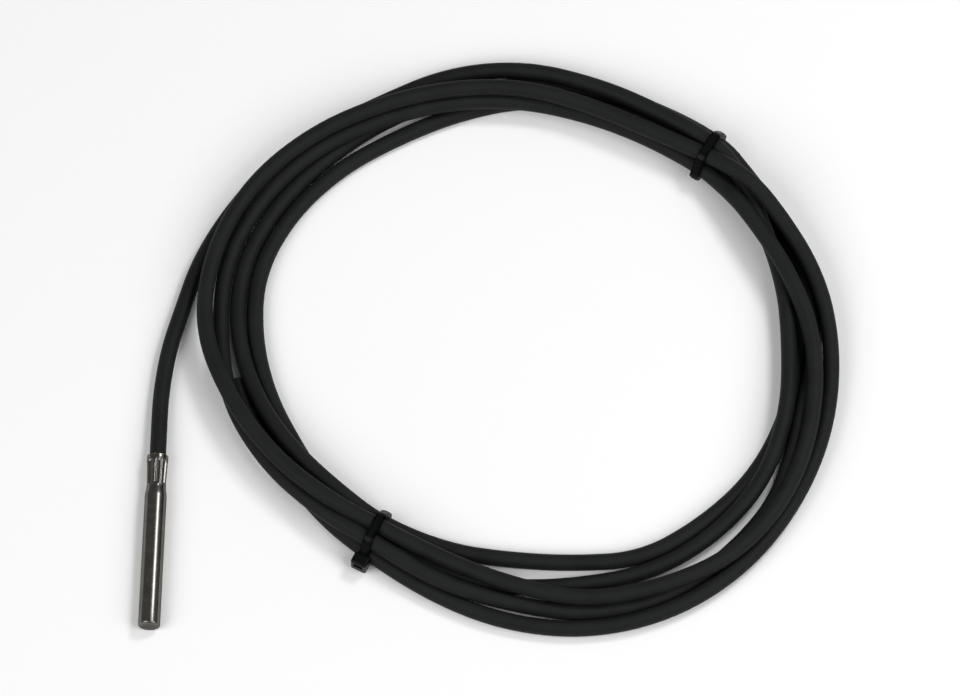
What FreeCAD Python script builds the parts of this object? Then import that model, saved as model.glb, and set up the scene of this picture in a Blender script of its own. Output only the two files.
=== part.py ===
"""Cable temperature probe: a crimped steel sleeve on a coiled, twice-tied cable.

Millimetres, +Z up. The sleeve lies on the floor along Y with its closed tip
towards -Y, and the origin is on the floor under the middle of the sleeve.
"""
import FreeCAD
import Part
import math
import os

Vector = FreeCAD.Vector

# Cable: two insulated cores in a round jacket
CONDUCTOR_OD = 0.62
CORE_WALL = 0.39
CORE_GAP = 0.06
JACKET_BORE_CLEARANCE = 0.07
JACKET_WALL = 0.75

# Sleeve: drawn tube, closed at the tip and crimped on the jacket at the mouth
SLEEVE_LENGTH = 50.0
SLEEVE_WALL = 0.5
CABLE_CLEARANCE = 0.25
TIP_WALL = 0.8
TIP_ROUND = 0.7
CAVITY_ROUND = 0.35
MOUTH_SQUEEZE = 0.05
WAIST_SQUEEZE = 0.4
WAIST_FROM_MOUTH = 8.6
SHOULDER_LENGTH = 3.4
JACKET_PAST_SHOULDER = 2.0

# Crimp: pressed dimples in a ring round the mouth
DIMPLE_COUNT = 8
DIMPLE_TURN = 5.0
DIMPLE_FROM_MOUTH = 1.4
DIMPLE_LENGTH = 7.4
DIMPLE_WIDTH = 1.4
DIMPLE_DEPTH = 0.3

# Sensing element and its leads, from the tip inwards
ELEMENT_GAP = 0.6
ELEMENT_LENGTH = 2.3
ELEMENT_SIDE = 0.3
CHIP_THICKNESS = 0.65
GLASS_THICKNESS = 0.55
GLASS_LENGTH = 1.2
GLASS_ROUND_SHARE = 0.6
LEAD_OD = 0.25

# Splices between the element's leads and the cable's conductors
FERRULE_OD = 0.95
FERRULE_LENGTH = 4.0
SHRINK_WALL = 0.2
SHRINK_OVERLAP = 1.0
CORE_FREE_LENGTH = 9.0

# Tail: straight run out of the mouth, points on the floor up to the coil, and the length that enters it
TAIL_STRAIGHT = 6.0
TAIL_ROUTE = [(-0.1, 41.0), (0.5, 49.5), (1.8, 58.5), (4.2, 67.5)]
TAIL_INTO_COIL = 19.0
ARC_SHARE = 0.45

# Coil: its middle, its height, and the inner and outer edge of the bundle every 30 degrees from 15
COIL_MIDDLE = (97.0, 62.0)
COIL_HEIGHT = 11.0
COIL_BEVEL = 2.2
COIL_FIRST_ANGLE = 15
COIL_STEP = 30
COIL_INNER = [73.2, 70.1, 68.4, 68.9, 69.0, 71.1, 67.1, 63.8, 61.4, 63.8, 70.7, 74.2]
COIL_OUTER = [86.4, 83.1, 81.0, 84.2, 86.8, 91.8, 83.1, 76.1, 79.6, 88.7, 92.1, 90.4]

# Ties: moulded straps with a square head, one with its head outside and one with it underneath;
# where each one sits round the coil in degrees, how far out, and how far it is slanted
STRAP_WIDTH = 2.6
STRAP_THICKNESS = 0.85
RAIL_WIDTH = 0.5
RAIL_HEIGHT = 0.25
TIE_CLEARANCE = 0.15
HEAD_WIDTH = 4.6
HEAD_LENGTH = 5.0
HEAD_HEIGHT = 3.4
HEAD_ROUND = 0.6
STUB_LENGTH = 0.3
NECK_CLEARANCE = 0.4
UPPER_TIE = (48.0, 76.9, 12.0)
LOWER_TIE = (238.0, 69.2, 7.0)

# Sizes that follow from the ones above
CORE_OD = CONDUCTOR_OD + 2 * CORE_WALL
CORE_X = (CORE_OD + CORE_GAP) / 2
JACKET_BORE = 2 * CORE_OD + CORE_GAP + 2 * JACKET_BORE_CLEARANCE
CABLE_OD = JACKET_BORE + 2 * JACKET_WALL
SLEEVE_BORE = CABLE_OD + 2 * CABLE_CLEARANCE
SLEEVE_RADIUS = SLEEVE_BORE / 2 + SLEEVE_WALL
AXIS_Z = SLEEVE_RADIUS
TIP_Y = -SLEEVE_LENGTH / 2
MOUTH_Y = SLEEVE_LENGTH / 2
SHOULDER_END = WAIST_FROM_MOUTH + SHOULDER_LENGTH
JACKET_END_Y = MOUTH_Y - SHOULDER_END - JACKET_PAST_SHOULDER
CORE_END_Y = JACKET_END_Y - CORE_FREE_LENGTH
FERRULE_MIDDLE_Y = CORE_END_Y - FERRULE_LENGTH / 2
CAVITY_END_Y = TIP_Y + TIP_WALL
ELEMENT_Y = CAVITY_END_Y + ELEMENT_GAP
STRAP_FULL = STRAP_THICKNESS + RAIL_HEIGHT
LAYER_RISE = CABLE_OD * math.sqrt(3) / 2
BUNDLE_HALF_WIDTH = 1.5 * CABLE_OD
NESTED = (-CABLE_OD / 2, LAYER_RISE)
STACKED = (-CABLE_OD, CABLE_OD)


def write(name, shape):
    """Write one node."""
    shape.exportStep(f"parts/{name}.step")


def rod(radius, y_start, y_end, x=0.0):
    """Round bar along Y at the height of the sleeve's axis."""
    return Part.makeCylinder(radius, y_end - y_start, Vector(x, y_start, AXIS_Z), Vector(0, 1, 0))


def arc_through(a, b, c):
    """Arc edge through three points of a profile given as (radius, y)."""
    return Part.Arc(*[Vector(r, y, AXIS_Z) for r, y in (a, b, c)]).toShape()


def line(a, b):
    """Straight edge between two points of a profile given as (radius, y)."""
    return Part.LineSegment(*[Vector(r, y, AXIS_Z) for r, y in (a, b)]).toShape()


def tube_form(inset, tip_y, tip_round):
    """Solid of revolution of the crimped tube, inset evenly from its outer surface."""
    barrel = SLEEVE_RADIUS - inset
    waist = barrel - WAIST_SQUEEZE
    mouth = barrel - MOUTH_SQUEEZE
    waist_y = MOUTH_Y - WAIST_FROM_MOUTH
    shoulder_y = MOUTH_Y - SHOULDER_END
    middle = ((barrel + waist) / 2, (waist_y + shoulder_y) / 2)
    bend = (SHOULDER_LENGTH ** 2 + WAIST_SQUEEZE ** 2) / (4 * WAIST_SQUEEZE)
    quarter = SHOULDER_LENGTH / 4
    sag = bend - math.sqrt(bend ** 2 - quarter ** 2)
    corner = tip_round * (1 - math.sqrt(0.5))
    rim_start = (barrel, tip_y + tip_round)
    rim_end = (barrel - tip_round, tip_y)
    edges = [
        line((0, MOUTH_Y), (mouth, MOUTH_Y)),
        line((mouth, MOUTH_Y), (waist, waist_y)),
        arc_through((waist, waist_y), (waist + sag, waist_y - quarter), middle),
        arc_through(middle, (barrel - sag, shoulder_y + quarter), (barrel, shoulder_y)),
        line((barrel, shoulder_y), rim_start),
        arc_through(rim_start, (barrel - corner, tip_y + corner), rim_end),
        line(rim_end, (0, tip_y)),
        line((0, tip_y), (0, MOUTH_Y)),
    ]
    face = Part.Face(Part.Wire(edges))
    return face.revolve(Vector(0, 0, AXIS_Z), Vector(0, 1, 0), 360)


def dimples(inset):
    """Ring of obround punches whose floors are pressed one dimple depth into the tapered surface."""
    taper = math.atan((WAIST_SQUEEZE - MOUTH_SQUEEZE) / WAIST_FROM_MOUTH)
    middle = DIMPLE_FROM_MOUTH + DIMPLE_LENGTH / 2
    floor = SLEEVE_RADIUS - inset - MOUTH_SQUEEZE - middle * math.tan(taper) - DIMPLE_DEPTH
    half = (DIMPLE_LENGTH - DIMPLE_WIDTH) / 2
    reach = 2 * DIMPLE_WIDTH
    slot = Part.makeBox(DIMPLE_WIDTH, 2 * half, reach, Vector(-DIMPLE_WIDTH / 2, -half, 0))
    for end in (-half, half):
        slot = slot.fuse(Part.makeCylinder(DIMPLE_WIDTH / 2, reach, Vector(0, end, 0)))
    punch = slot.removeSplitter()
    punch.rotate(Vector(0, 0, 0), Vector(1, 0, 0), math.degrees(taper))
    punch.translate(Vector(0, MOUTH_Y - middle, AXIS_Z + floor))
    ring = []
    for index in range(DIMPLE_COUNT):
        copy = punch.copy()
        turn = DIMPLE_TURN + index * 360.0 / DIMPLE_COUNT
        copy.rotate(Vector(0, 0, AXIS_Z), Vector(0, 1, 0), turn)
        ring.append(copy)
    return Part.makeCompound(ring)


def build_sleeve():
    """Sleeve with its dimples, and the hollow inside it."""
    hollow = tube_form(SLEEVE_WALL, CAVITY_END_Y, CAVITY_ROUND).cut(dimples(SLEEVE_WALL))
    sleeve = tube_form(0.0, TIP_Y, TIP_ROUND).cut(dimples(0.0)).cut(hollow)
    return sleeve, hollow


def build_element():
    """Ceramic chip with the glass drop that holds the two leads on its face."""
    width = 2 * (CORE_X + ELEMENT_SIDE)
    top = AXIS_Z - LEAD_OD / 2
    chip_corner = Vector(-width / 2, ELEMENT_Y, top - CHIP_THICKNESS)
    chip = Part.makeBox(width, ELEMENT_LENGTH, CHIP_THICKNESS, chip_corner)
    glass_y = ELEMENT_Y + ELEMENT_LENGTH - GLASS_LENGTH
    glass = Part.makeBox(width, GLASS_LENGTH, GLASS_THICKNESS, Vector(-width / 2, glass_y, top))
    crown = [e for e in glass.Edges if e.BoundBox.ZMin > top + GLASS_THICKNESS / 2]
    glass = glass.makeFillet(GLASS_THICKNESS * GLASS_ROUND_SHARE, crown)
    return chip.fuse(glass).removeSplitter()


def build_inside(hollow):
    """Everything that the sleeve holds: element, leads, splices, cores, jacket and filling."""
    lead_start = ELEMENT_Y + ELEMENT_LENGTH - GLASS_LENGTH
    pieces = {}
    for number, x in ((1, -CORE_X), (2, CORE_X)):
        ferrule_y = (FERRULE_MIDDLE_Y - FERRULE_LENGTH / 2, FERRULE_MIDDLE_Y + FERRULE_LENGTH / 2)
        lead = rod(LEAD_OD / 2, lead_start, FERRULE_MIDDLE_Y, x)
        conductor = rod(CONDUCTOR_OD / 2, FERRULE_MIDDLE_Y, MOUTH_Y, x)
        ferrule = rod(FERRULE_OD / 2, *ferrule_y, x).cut(lead).cut(conductor)
        shrink = rod(FERRULE_OD / 2 + SHRINK_WALL, ferrule_y[0] - SHRINK_OVERLAP, ferrule_y[1], x)
        pieces[f"element_lead_{number}"] = lead
        pieces[f"conductor_{number}"] = conductor
        pieces[f"splice_ferrule_{number}"] = ferrule
        pieces[f"splice_shrink_{number}"] = shrink.cut(rod(FERRULE_OD / 2, *ferrule_y, x)).cut(lead)
        pieces[f"core_insulation_{number}"] = rod(CORE_OD / 2, CORE_END_Y, MOUTH_Y, x).cut(conductor)
    leads = Part.makeCompound([pieces["element_lead_1"], pieces["element_lead_2"]])
    pieces["sensing_element"] = build_element().cut(leads)
    filling = rod(SLEEVE_RADIUS, TIP_Y, JACKET_END_Y).common(hollow)
    pieces["potting_fill"] = filling.cut(Part.makeCompound(list(pieces.values())))
    jacket = rod(CABLE_OD / 2, JACKET_END_Y, MOUTH_Y).common(hollow)
    pieces["gripped_jacket"] = jacket.cut(rod(JACKET_BORE / 2, JACKET_END_Y, MOUTH_Y))
    return pieces


def tail_points():
    """Points of the tail: straight out of the mouth on the sleeve's axis, then down on the floor."""
    points = [Vector(0, MOUTH_Y, AXIS_Z), Vector(0, MOUTH_Y + TAIL_STRAIGHT, AXIS_Z)]
    return points + [Vector(x, y, CABLE_OD / 2) for x, y in TAIL_ROUTE]


def cable_along(points):
    """Round cable along straight runs joined by arcs as large as the runs allow."""
    edges = []
    start = points[0]
    length = 0.0
    for before, corner, after in zip(points, points[1:], points[2:]):
        way_in = (corner - before).normalize()
        way_out = (after - corner).normalize()
        turn = way_in.getAngle(way_out)
        setback = ARC_SHARE * min(corner.distanceToPoint(before), corner.distanceToPoint(after))
        radius = setback / math.tan(turn / 2)
        print(f"tail bend radius {radius:.0f} mm")
        arc_start = corner - way_in * setback
        arc_end = corner + way_out * setback
        inward = (way_out - way_in).normalize()
        crown = corner + inward * (radius / math.cos(turn / 2) - radius)
        edges.append(Part.LineSegment(start, arc_start).toShape())
        edges.append(Part.Arc(arc_start, crown, arc_end).toShape())
        length += start.distanceToPoint(arc_start) + radius * turn
        start = arc_end
    edges.append(Part.LineSegment(start, points[-1]).toShape())
    length += start.distanceToPoint(points[-1])
    section = Part.Wire(Part.Circle(points[0], points[1] - points[0], CABLE_OD / 2).toShape())
    cable = Part.Wire(edges).makePipeShell([section], True, False)
    expected = math.pi * CABLE_OD ** 2 / 4 * length
    print(f"tail {length:.1f} mm long, volume {cable.Volume:.0f} of {expected:.0f}")
    return cable


def coil_disc(radii):
    """Disc as high as the coil, with a smooth outline through radii round the coil's middle."""
    points = []
    for index, radius in enumerate(radii):
        angle = math.radians(COIL_FIRST_ANGLE + index * COIL_STEP)
        spoke = Vector(math.cos(angle), math.sin(angle), 0) * radius
        points.append(Vector(*COIL_MIDDLE, 0) + spoke)
    outline = Part.BSplineCurve()
    outline.interpolate(points, PeriodicFlag=True)
    return Part.Face(Part.Wire(outline.toShape())).extrude(Vector(0, 0, COIL_HEIGHT))


def bundle_section(lift, inner, growth):
    """Outline of the tied bundle, three strands under two, grown by a gap; across is X.

    The outer strand of the two nests on the lower ones, and inner says where the other one lies.
    """
    centres = [(-CABLE_OD, 0.0), (CABLE_OD, 0.0), (CABLE_OD / 2, LAYER_RISE), inner]
    corners = [Vector(x, 0, lift + CABLE_OD / 2 + z) for x, z in centres]
    return Part.makePolygon(corners + corners[:1]).makeOffset2D(CABLE_OD / 2 + growth)


def slab(outline, width):
    """Solid of an outline in the XZ plane, as wide as asked about Y = 0."""
    solid = Part.Face(outline).extrude(Vector(0, width, 0))
    solid.translate(Vector(0, -width / 2, 0))
    return solid


def strap_loop(lift, inner, thickness, width):
    """Closed loop of strap round the tied bundle."""
    outside = slab(bundle_section(lift, inner, TIE_CLEARANCE + thickness), width)
    return outside.cut(slab(bundle_section(lift, inner, TIE_CLEARANCE), width))


def at_tie(shape, tie):
    """Set a shape that was made about the bundle's middle at its tie on the coil."""
    angle, radius, slant = tie
    shape.rotate(Vector(0, 0, 0), Vector(0, 0, 1), slant)
    shape.translate(Vector(radius, 0, 0))
    shape.rotate(Vector(0, 0, 0), Vector(0, 0, 1), angle)
    shape.translate(Vector(*COIL_MIDDLE, 0))
    return shape


def build_tie(tie, lift, inner, head_under):
    """One tie: strap round the bundle with a rail on each edge, head and cut end."""
    strap = strap_loop(lift, inner, STRAP_THICKNESS, STRAP_WIDTH)
    for side in (-1, 1):
        rail = strap_loop(lift, inner, STRAP_FULL, RAIL_WIDTH)
        rail.translate(Vector(0, side * (STRAP_WIDTH - RAIL_WIDTH) / 2, 0))
        strap = strap.fuse(rail)
    head = Part.makeBox(HEAD_HEIGHT, HEAD_WIDTH, HEAD_LENGTH, Vector(0, -HEAD_WIDTH / 2, -HEAD_LENGTH / 2))
    crown = [e for e in head.Edges if e.BoundBox.XMin > HEAD_HEIGHT / 2]
    head = head.makeFillet(HEAD_ROUND, crown)
    if head_under:
        head.rotate(Vector(0, 0, 0), Vector(0, 1, 0), 90)
        head.translate(Vector(0, 0, lift - TIE_CLEARANCE))
    else:
        stub_corner = Vector(0, -STRAP_WIDTH / 2, -STRAP_FULL / 2)
        stub = Part.makeBox(HEAD_HEIGHT + STUB_LENGTH, STRAP_WIDTH, STRAP_FULL, stub_corner)
        head = head.fuse(stub)
        head.translate(Vector(BUNDLE_HALF_WIDTH + TIE_CLEARANCE, 0, lift + CABLE_OD / 2))
    return at_tie(strap.fuse(head).removeSplitter(), tie)


def build_coil(ties):
    """Outer shape of the coiled bundle with the cable's way in, pinched to a neck at each tie."""
    ring = coil_disc(COIL_OUTER).cut(coil_disc(COIL_INNER))
    rims = [e for e in ring.Edges if e.BoundBox.ZLength < COIL_HEIGHT / 2]
    coil = ring.makeChamfer(COIL_BEVEL, rims)
    before_end, tail_end = tail_points()[-2:]
    way_in = tail_end - before_end
    coil = coil.fuse(Part.makeCylinder(CABLE_OD / 2, TAIL_INTO_COIL, tail_end, way_in))
    neck_width = HEAD_WIDTH + 2 * NECK_CLEARANCE
    reach = 4 * CABLE_OD
    for tie, lift, inner in ties:
        gap = Part.makeBox(2 * reach, neck_width, 2 * reach, Vector(-reach, -neck_width / 2, -reach))
        coil = coil.cut(at_tie(gap, tie))
        coil = coil.fuse(at_tie(slab(bundle_section(lift, inner, 0.0), neck_width), tie))
    return coil.removeSplitter()


os.makedirs("parts", exist_ok=True)
sleeve_shape, hollow_shape = build_sleeve()
write("probe_sleeve", sleeve_shape)
for node, shape in build_inside(hollow_shape).items():
    write(node, shape)
write("tail_cable", cable_along(tail_points()))
lower_lift = STRAP_FULL + TIE_CLEARANCE
upper_lift = HEAD_HEIGHT + TIE_CLEARANCE
write("cable_coil", build_coil([(UPPER_TIE, upper_lift, STACKED), (LOWER_TIE, lower_lift, NESTED)]))
write("tie_upper", build_tie(UPPER_TIE, upper_lift, STACKED, head_under=True))
write("tie_lower", build_tie(LOWER_TIE, lower_lift, NESTED, head_under=False))
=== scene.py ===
"""Cable temperature probe on a pale floor: crimped steel sleeve, coiled black cable, two ties."""
import math

import bmesh
import bpy
from mathutils import Matrix, Vector


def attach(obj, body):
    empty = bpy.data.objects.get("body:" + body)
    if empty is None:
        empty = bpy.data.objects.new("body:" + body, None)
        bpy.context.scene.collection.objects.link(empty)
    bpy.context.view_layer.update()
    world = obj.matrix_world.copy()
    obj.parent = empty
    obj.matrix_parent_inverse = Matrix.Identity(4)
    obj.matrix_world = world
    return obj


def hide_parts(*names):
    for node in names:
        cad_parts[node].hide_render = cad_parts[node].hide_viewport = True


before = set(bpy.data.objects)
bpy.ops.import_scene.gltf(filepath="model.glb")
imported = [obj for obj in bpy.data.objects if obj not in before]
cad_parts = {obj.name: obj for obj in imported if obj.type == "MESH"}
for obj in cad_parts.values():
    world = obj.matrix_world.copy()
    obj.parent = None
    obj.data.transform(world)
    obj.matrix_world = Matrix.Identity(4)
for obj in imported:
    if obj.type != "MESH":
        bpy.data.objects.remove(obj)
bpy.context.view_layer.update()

# Steel sleeve
# A thin tube deep-drawn from stainless sheet, closed at its tip with a small round edge.
# At its mouth a press squeezes it to a waist and sets eight dimples that grip the cable.
MM = 0.001
SLEEVE_RADIUS = 3.0
SLEEVE_WALL = 0.5
SLEEVE_AXIS = Vector((0.0, 0.0, SLEEVE_RADIUS))
TIP_Y = -25.0
MOUTH_Y = 25.0
TIP_ROUND = 0.7
TIP_WALL = 0.8
CAVITY_ROUND = 0.35
MOUTH_SQUEEZE = 0.05
MOUTH_ROUND = 0.12
RIM_RADIUS = SLEEVE_RADIUS - MOUTH_SQUEEZE
WAIST_SQUEEZE = 0.4
WAIST_FROM_MOUTH = 8.6
SHOULDER_LENGTH = 3.4
DIMPLE_COUNT = 8
DIMPLE_TURN = math.radians(5.0)
DIMPLE_FROM_MOUTH = 1.4
DIMPLE_LENGTH = 7.4
DIMPLE_WIDTH = 1.4
DIMPLE_DEPTH = 0.3
LIP_HEIGHT = 0.08

# A dimple from its middle line outwards, in shares of its half width: flat bottom, edge, top of the lip
FLAT_SHARE = 0.4
EDGE_SHARE = 1.0
LIP_SHARE = 1.3
LIP_REACH = 0.5

# Fineness of the tube's mesh: close rings as far as just past the crimp, few on the barrel and tip
RING_STEP = 0.16
SIDES = 192
PAST_CRIMP = 1.0
BARREL_SHARES = (0.2, 0.4, 0.6, 0.8)
TIP_FACE_SHARES = (0.75, 0.4)
MERGE_WITHIN = 0.002


def squeeze(from_mouth):
    """How far the press has pushed the wall in at a distance from the mouth."""
    if from_mouth <= WAIST_FROM_MOUTH:
        share = from_mouth / WAIST_FROM_MOUTH
        return MOUTH_SQUEEZE + (WAIST_SQUEEZE - MOUTH_SQUEEZE) * share
    share = min((from_mouth - WAIST_FROM_MOUTH) / SHOULDER_LENGTH, 1.0)
    return WAIST_SQUEEZE * (1 - share * share * (3 - 2 * share))


def quarter_turn(radius, y, corner, outward, steps=7):
    """Points of a rounded edge between a wall and an end face, as (radius, y)."""
    points = []
    for step in range(steps + 1):
        angle = math.pi / 2 * step / steps
        points.append((radius - corner * (1 - math.cos(angle)), y + outward * corner * math.sin(angle)))
    return points


def tube_wall(inset, end_y, end_round):
    """One side of the tube's wall from the rim of its mouth to the middle of its tip."""
    points = []
    crimped = WAIST_FROM_MOUTH + SHOULDER_LENGTH + PAST_CRIMP
    for step in range(int(crimped / RING_STEP) + 1):
        from_mouth = max(step * RING_STEP, MOUTH_ROUND)
        points.append((SLEEVE_RADIUS - inset - squeeze(from_mouth), MOUTH_Y - from_mouth))
    barrel = SLEEVE_RADIUS - inset
    for share in BARREL_SHARES:
        points.append((barrel, (MOUTH_Y - crimped) * (1 - share) + end_y * share))
    points += quarter_turn(barrel, end_y + end_round, end_round, -1)
    return points + [((barrel - end_round) * share, end_y) for share in TIP_FACE_SHARES]


def finished(name, mesh, material, smooth=True):
    """Object of a bmesh, with faces pointing outwards and the given material."""
    bmesh.ops.recalc_face_normals(mesh, faces=mesh.faces[:])
    data = bpy.data.meshes.new(name)
    mesh.to_mesh(data)
    mesh.free()
    for face in data.polygons:
        face.use_smooth = smooth
    data.materials.append(material)
    piece = bpy.data.objects.new(name, data)
    bpy.context.scene.collection.objects.link(piece)
    return piece


def linear(hex_colour):
    """Linear colour of an sRGB hex value."""
    channels = [int(hex_colour[i:i + 2], 16) / 255 for i in (1, 3, 5)]
    return [c / 12.92 if c <= 0.04045 else ((c + 0.055) / 1.055) ** 2.4 for c in channels] + [1.0]


def add(tree, kind, inputs, **settings):
    """One node with its settings, and its inputs set to values or linked to sockets."""
    node = tree.nodes.new(kind)
    for name, value in settings.items():
        setattr(node, name, value)
    for key, value in inputs.items():
        if isinstance(value, bpy.types.NodeSocket):
            tree.links.new(value, node.inputs[key])
        else:
            node.inputs[key].default_value = value
    return node.outputs


# Width of the broad patches in grains, and the range that two multiplied noises fill
PATCH_GRAINS = 24
NOISE_LOW = 0.12
NOISE_HIGH = 0.42


def surface(name, dark, light, grain, rough, bump, stretch=(1.0, 1.0, 1.0), **shader):
    """Material whose colour, gloss and relief vary with a grain of a real size in millimetres."""
    material = bpy.data.materials.new(name)
    material.use_nodes = True
    tree = material.node_tree
    tree.nodes.clear()
    place = add(tree, "ShaderNodeTexCoord", {})["Object"]
    along = add(tree, "ShaderNodeMapping", {"Vector": place, "Scale": stretch})["Vector"]
    fine = add(tree, "ShaderNodeTexNoise", {"Vector": along, "Scale": 1 / (grain * MM), "Detail": 3.0})["Fac"]
    patch = PATCH_GRAINS * grain * MM
    broad = add(tree, "ShaderNodeTexNoise", {"Vector": place, "Scale": 1 / patch, "Detail": 2.0})["Fac"]
    mixed = add(tree, "ShaderNodeMath", {0: fine, 1: broad}, operation="MULTIPLY")["Value"]
    tone = add(tree, "ShaderNodeMapRange",
               {"Value": mixed, "From Min": NOISE_LOW, "From Max": NOISE_HIGH})["Result"]
    colour = add(tree, "ShaderNodeMix", {"Factor": tone, "A": linear(dark), "B": linear(light)},
                 data_type="RGBA")["Result"]
    gloss = add(tree, "ShaderNodeMapRange",
                {"Value": mixed, "From Min": NOISE_LOW, "From Max": NOISE_HIGH,
                 "To Min": rough[0], "To Max": rough[1]})["Result"]
    relief = add(tree, "ShaderNodeBump", {"Height": fine, "Distance": bump * MM})["Normal"]
    body = add(tree, "ShaderNodeBsdfPrincipled",
               {"Base Color": colour, "Roughness": gloss, "Normal": relief, **shader})["BSDF"]
    add(tree, "ShaderNodeOutputMaterial", {"Surface": body})
    return material


def crimp_tree():
    """Press that pushes a ring of obround dimples into a tube along Y and raises a lip round each."""
    tree = bpy.data.node_groups.new("crimp_dimples", "GeometryNodeTree")
    tree.interface.new_socket("Tube", in_out="INPUT", socket_type="NodeSocketGeometry")
    for name in ("Count", "Turn", "Axis Height", "Arm", "Middle", "Half Run", "Half Width", "Depth", "Lip"):
        tree.interface.new_socket(name, in_out="INPUT", socket_type="NodeSocketFloat")
    tree.interface.new_socket("Material", in_out="INPUT", socket_type="NodeSocketMaterial")
    tree.interface.new_socket("Tube", in_out="OUTPUT", socket_type="NodeSocketGeometry")
    given = add(tree, "NodeGroupInput", {})
    where = add(tree, "ShaderNodeSeparateXYZ", {0: add(tree, "GeometryNodeInputPosition", {})[0]})

    # Way round the tube from the nearest dimple's middle line
    height = add(tree, "ShaderNodeMath", {0: where["Z"], 1: given["Axis Height"]},
                 operation="SUBTRACT")["Value"]
    around = add(tree, "ShaderNodeMath", {0: where["X"], 1: height}, operation="ARCTAN2")["Value"]
    turned = add(tree, "ShaderNodeMath", {0: around, 1: given["Turn"]}, operation="SUBTRACT")["Value"]
    sector = add(tree, "ShaderNodeMath", {0: math.pi, 1: given["Count"]}, operation="DIVIDE")["Value"]
    swing = add(tree, "ShaderNodeMath", {0: turned, 1: sector}, operation="PINGPONG")["Value"]
    beside = add(tree, "ShaderNodeMath", {0: swing, 1: given["Arm"]}, operation="MULTIPLY")["Value"]

    # Way past the straight run of the dimple, and from both the distance in half widths
    ahead = add(tree, "ShaderNodeMath", {0: where["Y"], 1: given["Middle"]}, operation="SUBTRACT")["Value"]
    along = add(tree, "ShaderNodeMath", {0: ahead}, operation="ABSOLUTE")["Value"]
    over = add(tree, "ShaderNodeMath", {0: along, 1: given["Half Run"]}, operation="SUBTRACT")["Value"]
    past_run = add(tree, "ShaderNodeMath", {0: over, 1: 0.0}, operation="MAXIMUM")["Value"]
    reach = add(tree, "ShaderNodeCombineXYZ", {"X": beside, "Y": past_run})["Vector"]
    away = add(tree, "ShaderNodeVectorMath", {0: reach}, operation="LENGTH")["Value"]
    share = add(tree, "ShaderNodeMath", {0: away, 1: given["Half Width"]}, operation="DIVIDE")["Value"]

    # The press sinks the middle, and the metal it moves stands up as a lip
    pressed = add(tree, "ShaderNodeMapRange",
                  {"Value": share, "From Min": FLAT_SHARE, "From Max": EDGE_SHARE,
                   "To Min": 1.0, "To Max": 0.0}, interpolation_type="SMOOTHSTEP")["Result"]
    off_lip = add(tree, "ShaderNodeMath", {0: share, 1: LIP_SHARE}, operation="SUBTRACT")["Value"]
    lip_way = add(tree, "ShaderNodeMath", {0: off_lip}, operation="ABSOLUTE")["Value"]
    raised = add(tree, "ShaderNodeMapRange",
                 {"Value": lip_way, "From Min": 0.0, "From Max": LIP_REACH,
                  "To Min": 1.0, "To Max": 0.0}, interpolation_type="SMOOTHSTEP")["Result"]
    rise = add(tree, "ShaderNodeMath", {0: raised, 1: given["Lip"]}, operation="MULTIPLY")["Value"]
    sink = add(tree, "ShaderNodeMath", {0: pressed, 1: given["Depth"]}, operation="MULTIPLY")["Value"]
    lift = add(tree, "ShaderNodeMath", {0: rise, 1: sink}, operation="SUBTRACT")["Value"]
    spoke = add(tree, "ShaderNodeCombineXYZ", {"X": where["X"], "Z": height})["Vector"]
    outward = add(tree, "ShaderNodeVectorMath", {0: spoke}, operation="NORMALIZE")["Vector"]
    shift = add(tree, "ShaderNodeVectorMath", {0: outward, "Scale": lift}, operation="SCALE")["Vector"]
    tube = add(tree, "GeometryNodeSetPosition", {"Geometry": given["Tube"], "Offset": shift})["Geometry"]
    real = add(tree, "GeometryNodeRealizeInstances", {"Geometry": tube})["Geometry"]
    painted = add(tree, "GeometryNodeSetMaterial",
                  {"Geometry": real, "Material": given["Material"]})["Geometry"]
    add(tree, "NodeGroupOutput", {"Tube": painted})
    return tree


def shaped(piece, tree, values):
    """Run a node tree on a piece and keep the result as its plain mesh."""
    modifier = piece.modifiers.new("shape", "NODES")
    modifier.node_group = tree
    for item in tree.interface.items_tree:
        if item.in_out == "INPUT" and item.name in values:
            modifier[item.identifier] = values[item.name]
    ready = piece.evaluated_get(bpy.context.evaluated_depsgraph_get())
    data = bpy.data.meshes.new_from_object(ready)
    piece.modifiers.remove(modifier)
    return data


# Drawn stainless: grey metal with a long clear highlight and faint lines along the draw.
# The real lines are finer than 0.12 mm and are drawn this coarse to show at all.
drawn_stainless = surface("drawn_stainless_steel", "#6b6966", "#7c7a76", 0.12, (0.24, 0.28), 0.0002,
                          stretch=(1.0, 0.008, 1.0), Metallic=1.0, **{"Specular Tint": linear("#a8a8a8")})

rim = quarter_turn(RIM_RADIUS, MOUTH_Y - MOUTH_ROUND, MOUTH_ROUND, 1)
inner_rim = [(2 * RIM_RADIUS - SLEEVE_WALL - radius, y) for radius, y in rim[::-1]]
outside = tube_wall(0.0, TIP_Y, TIP_ROUND)
inside = tube_wall(SLEEVE_WALL, TIP_Y + TIP_WALL, CAVITY_ROUND)
sleeve_mesh = bmesh.new()
wall_rings = []
for radius, y in outside[::-1] + rim + inner_rim + inside:
    ring = []
    for side in range(SIDES):
        angle = 2 * math.pi * side / SIDES
        spoke = Vector((radius * math.sin(angle), y, radius * math.cos(angle)))
        ring.append(sleeve_mesh.verts.new((SLEEVE_AXIS + spoke) * MM))
    wall_rings.append(ring)
for ring, after in zip(wall_rings, wall_rings[1:]):
    for side in range(SIDES):
        ahead = (side + 1) % SIDES
        sleeve_mesh.faces.new((ring[side], ring[ahead], after[ahead], after[side]))
for ring in (wall_rings[0], wall_rings[-1]):
    middle = sleeve_mesh.verts.new(Vector((0.0, ring[0].co.y, SLEEVE_AXIS.z * MM)))
    for side in range(SIDES):
        sleeve_mesh.faces.new((ring[side], ring[(side + 1) % SIDES], middle))
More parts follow.
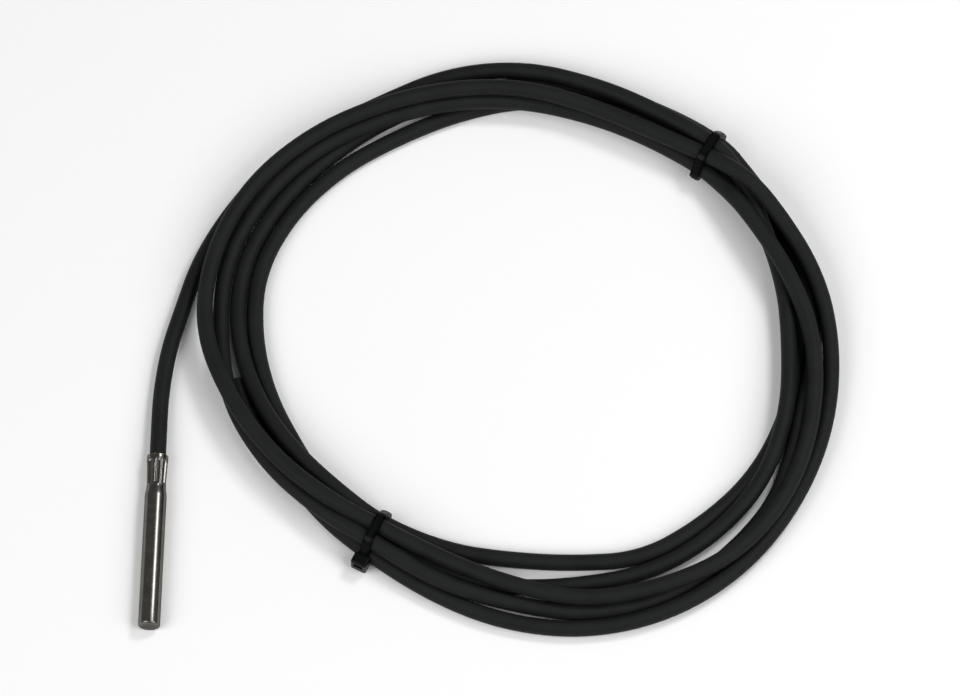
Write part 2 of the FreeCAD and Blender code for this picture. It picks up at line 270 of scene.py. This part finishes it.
bmesh.ops.remove_doubles(sleeve_mesh, verts=sleeve_mesh.verts[:], dist=MERGE_WITHIN * MM)
sleeve = finished("crimped_sleeve", sleeve_mesh, drawn_stainless)
sleeve.data = shaped(sleeve, crimp_tree(), {
    "Count": float(DIMPLE_COUNT),
    "Turn": DIMPLE_TURN,
    "Axis Height": SLEEVE_AXIS.z * MM,
    "Arm": (SLEEVE_RADIUS - WAIST_SQUEEZE / 2) * MM,
    "Middle": (MOUTH_Y - DIMPLE_FROM_MOUTH - DIMPLE_LENGTH / 2) * MM,
    "Half Run": (DIMPLE_LENGTH - DIMPLE_WIDTH) / 2 * MM,
    "Half Width": DIMPLE_WIDTH / 2 * MM,
    "Depth": DIMPLE_DEPTH * MM,
    "Lip": LIP_HEIGHT * MM,
    "Material": drawn_stainless,
})
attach(sleeve, "root")
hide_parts("probe_sleeve")

# Inside of the sleeve
# A ceramic chip on two bare leads, joined to the copper conductors by crimped ferrules
# under shrunk tubes, all set in epoxy; the end of the cable's jacket closes it at the mouth.
WIRE_STRETCH = (1.0, 0.05, 1.0)
INSIDE_FINISHES = [
    # Cast epoxy: black and fairly glossy
    (("potting_fill",), surface("black_epoxy_resin", "#17181a", "#232427", 0.5, (0.3, 0.45), 0.01)),
    # Fired alumina: chalky white with a fine dry grain
    (("sensing_element",), surface("fired_alumina", "#d9d6cd", "#efede6", 0.06, (0.5, 0.65), 0.003)),
    # Drawn nickel: pale warm metal with lines along the wire
    (("element_lead_1", "element_lead_2"),
     surface("nickel_wire", "#a9a69d", "#c6c3ba", 0.05, (0.25, 0.35), 0.002,
             stretch=WIRE_STRETCH, Metallic=1.0)),
    # Tinned brass: silvery and a little dull
    (("splice_ferrule_1", "splice_ferrule_2"),
     surface("tinned_brass", "#b1b0aa", "#cfcec8", 0.1, (0.3, 0.42), 0.004, Metallic=1.0)),
    # Shrunk polyolefin: black with a soft satin skin
    (("splice_shrink_1", "splice_shrink_2"),
     surface("shrunk_polyolefin", "#1b1c1f", "#2a2b2f", 0.2, (0.4, 0.55), 0.01)),
    # Drawn copper: bright orange-brown with lines along the wire
    (("conductor_1", "conductor_2"),
     surface("bare_copper", "#b06a44", "#c98359", 0.05, (0.22, 0.34), 0.002,
             stretch=WIRE_STRETCH, Metallic=1.0)),
    # Extruded PVC of the two cores: even satin colour
    (("core_insulation_1",), surface("brown_pvc", "#553322", "#64402c", 0.2, (0.35, 0.5), 0.006)),
    (("core_insulation_2",), surface("white_pvc", "#d3d0c8", "#e4e2db", 0.2, (0.35, 0.5), 0.006)),
]
for nodes, material in INSIDE_FINISHES:
    for node in nodes:
        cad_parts[node].data.materials.clear()
        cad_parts[node].data.materials.append(material)

# Cable
# Two insulated cores in a round jacket of black PVC, extruded with a satin skin.
# It leaves the sleeve, drops on the floor and lies in five loose turns, each on the ones before it.
CABLE_OD = 4.5
FLOOR_HEIGHT = CABLE_OD / 2
TAIL = [(0.0, 25.0, 3.0), (0.0, 31.0, 3.0), (-0.1, 41.0, 2.25), (0.5, 49.5, 2.25), (1.8, 58.5, 2.25),
        (4.2, 67.5, 2.25)]
COIL_MIDDLE = (97.0, 62.0)
CABLE_END = (20.8, 48.6, 2.25)

# Where the ties sit, in degrees round the coil, and how far each holds the cable off the floor
UPPER_TIE_AT = 48
LOWER_TIE_AT = 238
TIE_LIFT = {UPPER_TIE_AT: 3.55, LOWER_TIE_AT: 1.25}

# Places round the coil in degrees, clockwise from where the tail joins it, and at each of them
# the turns from the lowest to the highest, numbered from the tail's own turn
STATIONS = [180, 165, 150, 135, 120, 105, 90, 75, 62, UPPER_TIE_AT, 40, 32, 15,
            0, 345, 330, 315, 300, 285, 270, 255, LOWER_TIE_AT, 225, 210, 195]
STACKS = ["12345", "12345", "12345", "12345", "12345", "23145", "23145", "23145", "23415", "23415",
          "23145", "23145", "23145", "23145", "23514", "23514", "23514", "23514", "21534", "21534",
          "21534", "21543", "15234", "15234", "15234"]

# Radius of each turn at those places
TURNS = [
    [94.2, 90.2, 87.1, 84.2, 81.4, 82.6, 81.5, 78.9, 78.0, 79.15, 78.3, 76.4, 75.3,
     74.7, 77.1, 79.0, 78.0, 76.2, 72.8, 71.6, 70.0, 69.2, 68.5, 67.2, 69.3],
    [71.7, 74.0, 73.2, 71.6, 70.05, 71.1, 73.6, 74.6, 75.6, 76.9, 76.4, 76.85, 77.6,
     77.4, 76.8, 75.7, 73.3, 71.7, 66.1, 63.4, 63.6, 64.7, 65.9, 69.2, 73.0],
    [76.5, 78.6, 77.6, 76.4, 76.4, 77.0, 78.6, 79.1, 80.1, 81.4, 80.9, 81.35, 82.3,
     82.0, 80.7, 84.75, 84.8, 84.9, 81.6, 76.45, 74.1, 71.45, 73.5, 77.0, 80.3],
    [81.2, 83.3, 82.0, 79.2, 75.1, 72.9, 71.3, 70.4, 70.75, 72.4, 72.6, 73.1, 77.1,
     81.8, 84.5, 87.0, 87.0, 82.7, 78.7, 72.0, 67.7, 66.95, 70.6, 75.2, 80.4],
    [86.0, 87.1, 85.95, 82.05, 78.0, 75.6, 73.8, 71.5, 71.2, 74.65, 77.2, 80.1, 84.7,
     86.7, 88.2, 89.2, 89.9, 89.3, 86.25, 81.75, 76.9, 73.7, 73.0, 73.0, 76.6],
]

# A smooth line cuts inside the points that guide it by this share at these steps
INSIDE_SHARE = 0.9915

# The turns settle in rounds: each sinks a little, is straightened by its neighbours along the
# cable, and is held up by the floor, the ties and the turns under it
SETTLE_ROUNDS = 300
SINK = 0.27
STIFFNESS = 0.5


def resting(order, radii, heights, floor, kept=None):
    """Heights at one place of the coil when each turn lies on the ones under it."""
    needed = []
    for upper, here in enumerate(order):
        best = floor
        for lower, under in enumerate(order[:upper]):
            beside = abs(radii[here] - radii[under])
            if beside < CABLE_OD and (kept is None or (lower, upper) in kept):
                held = needed[lower] if under in tied else max(needed[lower], heights[under])
                best = max(best, held + math.sqrt(CABLE_OD ** 2 - beside ** 2))
        needed.append(best)
    return needed


def strands(station, last):
    """Numbers along the cable of the turns at one place, from the lowest to the highest."""
    along = [(int(turn) - 1) * len(STATIONS) + station for turn in STACKS[station]]
    return [n for n in along if n < last]


radii = [radius for turn in TURNS for radius in turn]
between = [(a + b) / 2 for a, b in zip(radii, radii[1:])]
count = len(radii)
tied = {n for n in range(count) if STATIONS[n % len(STATIONS)] in TIE_LIFT}
lowest = [FLOOR_HEIGHT + TIE_LIFT.get(angle, 0.0) for angle in STATIONS]

# Halfway between two places, only turns that keep their order from one to the next lie on each other
halfway = []
for station in range(len(STATIONS) - 1):
    order = strands(station, count - 1)
    following = strands(station + 1, count)
    kept = {(low, high) for high in range(len(order)) for low in range(high)
            if following.index(order[low] + 1) < following.index(order[high] + 1)}
    halfway.append((order, kept))

heights = lowest * len(TURNS)
for settle_round in range(SETTLE_ROUNDS):
    level = heights[:]
    for n in range(count):
        pull = (level[n - 1] + level[n + 1]) / 2 - level[n] if 0 < n < count - 1 else 0.0
        heights[n] = level[n] - SINK + STIFFNESS * pull
    for station in range(len(STATIONS)):
        order = strands(station, count)
        for n, height in zip(order, resting(order, radii, heights, lowest[station])):
            heights[n] = height if n in tied else max(height, heights[n])
    for order, kept in halfway:
        midway = [(a + b) / 2 for a, b in zip(heights, heights[1:])]
        for n, height in zip(order, resting(order, between, midway, FLOOR_HEIGHT, kept)):
            for end in (n, n + 1):
                if height > midway[n] and end not in tied:
                    heights[end] += (height - midway[n]) / 2

route = list(TAIL)
for n in range(1, count):
    angle = math.radians(STATIONS[n % len(STATIONS)])
    radius = radii[n] / INSIDE_SHARE
    route.append((COIL_MIDDLE[0] + radius * math.cos(angle),
                  COIL_MIDDLE[1] + radius * math.sin(angle), heights[n]))
route.append(CABLE_END)

# Extruded PVC: black with a soft dull sheen, a little uneven from handling
black_pvc = surface("extruded_black_pvc", "#141515", "#1d1e1e", 0.35, (0.58, 0.7), 0.006,
                    **{"Specular IOR Level": 0.15})

line = bpy.data.curves.new("probe_cable", "CURVE")
line.dimensions = "3D"
line.resolution_u = 8
line.bevel_depth = CABLE_OD / 2 * MM
line.bevel_resolution = 10
line.use_fill_caps = True
spline = line.splines.new("NURBS")
spline.points.add(len(route) - 1)
for point, place in zip(spline.points, route):
    point.co = (*(Vector(place) * MM), 1.0)
spline.order_u = 3
spline.use_endpoint_u = True
line.materials.append(black_pvc)
cable = bpy.data.objects.new("probe_cable", line)
bpy.context.scene.collection.objects.link(cable)
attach(cable, "root")
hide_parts("tail_cable", "cable_coil")
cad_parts["gripped_jacket"].data.materials.clear()
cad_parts["gripped_jacket"].data.materials.append(black_pvc)

# Ties
# Moulded black nylon straps round the five strands, with a rail on each edge and ratchet teeth
# between the rails, pulled through a square head and cut off just past it.
STRAP_WIDTH = 2.6
STRAP_THICKNESS = 0.85
RAIL_WIDTH = 0.5
RAIL_HEIGHT = 0.25
STRAP_GAP = 0.15
TOOTH_PITCH = 0.9
TOOTH_SHARE = 0.55
TOOTH_HEIGHT = 0.16
HEAD_WIDTH = 4.6
HEAD_LENGTH = 5.0
HEAD_HEIGHT = 3.4
HEAD_ROUND = 0.6
HEAD_ROUND_STEPS = 5
SLOT_RIM = 0.55
SLOT_SLOPE = 0.08
SLOT_DEPTH = 0.5
STUB_LENGTH = 0.3
STUB_ROOT = 1.2
HULL_STEPS = 96
UPPER_TIE_SLANT = 12.0
LOWER_TIE_SLANT = 7.0

# Moulded nylon: near black and smooth, with a faint shine and flow marks
moulded_nylon = surface("moulded_black_nylon", "#080909", "#0f1010", 0.6, (0.24, 0.36), 0.008,
                        **{"Specular IOR Level": 0.08})


def strap_tree():
    """Band with two rails swept along a closed line, and teeth across it in even steps."""
    tree = bpy.data.node_groups.new("ratchet_strap", "GeometryNodeTree")
    tree.interface.new_socket("Line", in_out="INPUT", socket_type="NodeSocketGeometry")
    for name in ("Width", "Thickness", "Rail Width", "Rail Height", "Pitch", "Tooth Height"):
        tree.interface.new_socket(name, in_out="INPUT", socket_type="NodeSocketFloat")
    tree.interface.new_socket("Across", in_out="INPUT", socket_type="NodeSocketVector")
    tree.interface.new_socket("Material", in_out="INPUT", socket_type="NodeSocketMaterial")
    tree.interface.new_socket("Strap", in_out="OUTPUT", socket_type="NodeSocketGeometry")
    given = add(tree, "NodeGroupInput", {})

    # Band and rails
    spread = add(tree, "ShaderNodeMath", {0: given["Width"], 1: given["Rail Width"]},
                 operation="SUBTRACT")["Value"]
    right = add(tree, "ShaderNodeMath", {0: spread, 1: 0.5}, operation="MULTIPLY")["Value"]
    left = add(tree, "ShaderNodeMath", {0: spread, 1: -0.5}, operation="MULTIPLY")["Value"]
    full = add(tree, "ShaderNodeMath", {0: given["Thickness"], 1: given["Rail Height"]},
               operation="ADD")["Value"]
    rise = add(tree, "ShaderNodeMath", {0: given["Rail Height"], 1: 0.5}, operation="MULTIPLY")["Value"]
    parts = []
    for width, height, aside, up in (
            (given["Width"], given["Thickness"], 0.0, 0.0),
            (given["Rail Width"], full, right, rise),
            (given["Rail Width"], full, left, rise)):
        outline = add(tree, "GeometryNodeCurvePrimitiveQuadrilateral",
                      {"Width": width, "Height": height})["Curve"]
        step = add(tree, "ShaderNodeCombineXYZ", {"X": aside, "Y": up})["Vector"]
        moved = add(tree, "GeometryNodeTransform", {"Geometry": outline, "Translation": step})["Geometry"]
        parts.append(add(tree, "GeometryNodeCurveToMesh",
                         {"Curve": given["Line"], "Profile Curve": moved})["Mesh"])

    # Teeth, each turned to lie across the strap
    steps = add(tree, "GeometryNodeResampleCurve", {"Curve": given["Line"], "Length": given["Pitch"]},
                mode="LENGTH")["Curve"]
    tangent = add(tree, "GeometryNodeInputTangent", {})["Tangent"]
    first = add(tree, "FunctionNodeAlignRotationToVector", {"Vector": tangent}, axis="X")["Rotation"]
    facing = add(tree, "FunctionNodeAlignRotationToVector", {"Rotation": first, "Vector": given["Across"]},
                 axis="Y", pivot_axis="X")["Rotation"]
    run = add(tree, "ShaderNodeMath", {0: given["Pitch"], 1: TOOTH_SHARE}, operation="MULTIPLY")["Value"]
    rails = add(tree, "ShaderNodeMath", {0: given["Rail Width"], 1: 2.0}, operation="MULTIPLY")["Value"]
    clear = add(tree, "ShaderNodeMath", {0: given["Width"], 1: rails}, operation="SUBTRACT")["Value"]
    both = add(tree, "ShaderNodeMath", {0: given["Tooth Height"], 1: 2.0}, operation="MULTIPLY")["Value"]
    tall = add(tree, "ShaderNodeMath", {0: given["Thickness"], 1: both}, operation="ADD")["Value"]
    tooth_size = add(tree, "ShaderNodeCombineXYZ", {"X": run, "Y": clear, "Z": tall})["Vector"]
    tooth = add(tree, "GeometryNodeMeshCube", {"Size": tooth_size})["Mesh"]
    parts.append(add(tree, "GeometryNodeInstanceOnPoints",
                     {"Points": steps, "Instance": tooth, "Rotation": facing})["Instances"])

    joined = tree.nodes.new("GeometryNodeJoinGeometry")
    for part in parts:
        tree.links.new(part, joined.inputs[0])
    real = add(tree, "GeometryNodeRealizeInstances", {"Geometry": joined.outputs[0]})["Geometry"]
    painted = add(tree, "GeometryNodeSetMaterial",
                  {"Geometry": real, "Material": given["Material"]})["Geometry"]
    add(tree, "NodeGroupOutput", {"Strap": painted})
    return tree


def hull_line(centres, grown):
    """Tight line round circles as (out, up) points, clear of them by a gap."""
    points = []
    for step in range(HULL_STEPS):
        angle = 2 * math.pi * step / HULL_STEPS + math.pi / 2
        way = (math.cos(angle), math.sin(angle))
        far = max(centres, key=lambda c: c[0] * way[0] + c[1] * way[1])
        points.append((far[0] + way[0] * grown, far[1] + way[1] * grown))
    return points


def tie_head(place, out, up, across, stub_length):
    """Square head with rounded edges, a sunk slot in its face and the cut end of the strap in it."""
    mesh = bmesh.new()
    bmesh.ops.create_cube(mesh, size=1.0)
    bmesh.ops.scale(mesh, vec=(HEAD_HEIGHT, HEAD_WIDTH, HEAD_LENGTH), verts=mesh.verts[:])
    bmesh.ops.bevel(mesh, geom=mesh.edges[:], offset=HEAD_ROUND, segments=HEAD_ROUND_STEPS, profile=0.5,
                    affect="EDGES")
    face = max(mesh.faces, key=lambda f: f.calc_center_median().x)
    bmesh.ops.inset_individual(mesh, faces=[face], thickness=SLOT_RIM)
    bmesh.ops.inset_individual(mesh, faces=[face], thickness=SLOT_SLOPE, depth=-SLOT_DEPTH)
    stub = bmesh.ops.create_cube(mesh, size=1.0)["verts"]
    stub_size = (stub_length + STUB_ROOT, STRAP_WIDTH, STRAP_THICKNESS + RAIL_HEIGHT)
    bmesh.ops.scale(mesh, vec=stub_size, verts=stub)
    bmesh.ops.translate(mesh, vec=((HEAD_HEIGHT + stub_length - STUB_ROOT) / 2, 0, 0), verts=stub)
    turn = Matrix((out, across, up)).transposed().to_4x4()
    mesh.transform(Matrix.Scale(MM, 4) @ Matrix.Translation(place) @ turn)
    return mesh


def build_tie(name, station_angle, slant, head_under):
    """One tie at its place on the coil: strap round the strands there, and its head."""
    centres = [(radii[n], heights[n]) for n in strands(STATIONS.index(station_angle), count)]
    spoke = math.radians(station_angle)
    angle = math.radians(station_angle + slant)
    outward = Vector((math.cos(spoke), math.sin(spoke), 0.0))
    out = Vector((math.cos(angle), math.sin(angle), 0.0))
    across = Vector((-math.sin(angle), math.cos(angle), 0.0))
    up = Vector((0.0, 0.0, 1.0))
    bundle = sorted(reach for reach, height in centres)[len(centres) // 2]
    middle = Vector((*COIL_MIDDLE, 0.0)) + outward * bundle - out * bundle
    loop = hull_line(centres, CABLE_OD / 2 + STRAP_GAP + STRAP_THICKNESS / 2)
    path = bpy.data.curves.new(name + "_line", "CURVE")
    path.dimensions = "3D"
    run = path.splines.new("POLY")
    run.points.add(len(loop) - 1)
    for point, (reach, height) in zip(run.points, loop):
        point.co = (*((middle + out * reach + up * height) * MM), 1.0)
    run.use_cyclic_u = True
    guide = bpy.data.objects.new(name + "_line", path)
    bpy.context.scene.collection.objects.link(guide)
    strap = shaped(guide, strap_tree(), {
        "Width": STRAP_WIDTH * MM,
        "Thickness": STRAP_THICKNESS * MM,
        "Rail Width": RAIL_WIDTH * MM,
        "Rail Height": RAIL_HEIGHT * MM,
        "Pitch": TOOTH_PITCH * MM,
        "Tooth Height": TOOTH_HEIGHT * MM,
        "Across": across,
        "Material": moulded_nylon,
    })
    bpy.data.objects.remove(guide)
    low = [c for c in centres if c[1] < min(h for _, h in centres) + CABLE_OD / 2]
    if head_under:
        beneath = sum(c[0] for c in low) / len(low)
        mesh = tie_head(middle + out * beneath + up * (HEAD_HEIGHT / 2), -up, out, across, 0.0)
    else:
        beyond = max(c[0] for c in low) + CABLE_OD / 2 + STRAP_GAP + HEAD_HEIGHT / 2
        mesh = tie_head(middle + out * beyond + up * low[0][1], out, up, across, STUB_LENGTH)
    mesh.from_mesh(strap)
    return finished(name, mesh, moulded_nylon, smooth=False)


upper_tie = build_tie("upper_tie", UPPER_TIE_AT, UPPER_TIE_SLANT, head_under=True)
lower_tie = build_tie("lower_tie", LOWER_TIE_AT, LOWER_TIE_SLANT, head_under=False)
for piece, node in ((upper_tie, "tie_upper"), (lower_tie, "tie_lower")):
    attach(piece, "root")
    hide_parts(node)

# Floor, light and camera
# A sheet of white paper, a small lamp behind on the right that draws the line of light on the
# steel, a broad lamp on each side in front, and dim walls, together at a plain level.
FLOOR_SIZE = 4.0
half = FLOOR_SIZE / 2
floor_mesh = bpy.data.meshes.new("floor")
floor_mesh.from_pydata([(-half, -half, 0), (half, -half, 0), (half, half, 0), (-half, half, 0)], [],
                       [(0, 1, 2, 3)])
floor = bpy.data.objects.new("floor", floor_mesh)
bpy.context.scene.collection.objects.link(floor)
paper = bpy.data.materials.new("white_paper")
paper.use_nodes = True
tree = paper.node_tree
tree.nodes.clear()
lit = add(tree, "ShaderNodeBsdfDiffuse", {"Color": linear("#fafafa")})["BSDF"]
add(tree, "ShaderNodeOutputMaterial", {"Surface": lit})
floor_mesh.materials.append(paper)

# Name, place in metres, width in metres and power in watts of each lamp
LAMPS = [
    ("key_lamp", (0.50, 0.38, 0.80), 0.24, 2.6),
    ("left_lamp", (-0.75, -0.55, 1.0), 1.0, 10.5),
    ("right_lamp", (0.95, -0.45, 1.0), 1.0, 10.0),
]
AIM = Vector((87.070, 61.535, 0.0)) * MM
for name, place, width, power in LAMPS:
    lamp = bpy.data.lights.new(name, "AREA")
    lamp.size = width
    lamp.energy = power
    holder = bpy.data.objects.new(name, lamp)
    holder.location = place
    holder.rotation_euler = (AIM - Vector(place)).to_track_quat("-Z", "Y").to_euler()
    bpy.context.scene.collection.objects.link(holder)

WALL_LIGHT = 0.18
walls = bpy.data.worlds.new("dim_walls")
walls.use_nodes = True
tree = walls.node_tree
tree.nodes.clear()
shine = add(tree, "ShaderNodeBackground", {"Color": linear("#ffffff"), "Strength": WALL_LIGHT})["Background"]
add(tree, "ShaderNodeOutputWorld", {"Surface": shine})
bpy.context.scene.world = walls
bpy.context.scene.view_settings.view_transform = "Standard"

EYE = Vector((118.452, -875.695, 2209.212)) * MM
FOCAL_LENGTH = 326.463
SENSOR_WIDTH = 36.0
lens = bpy.data.cameras.new("camera")
lens.sensor_width = SENSOR_WIDTH
lens.lens = FOCAL_LENGTH
lens.clip_start = 0.01
camera = bpy.data.objects.new("camera", lens)
camera.location = EYE
camera.rotation_euler = (AIM - EYE).to_track_quat("-Z", "Y").to_euler()
bpy.context.scene.collection.objects.link(camera)
bpy.context.scene.camera = camera
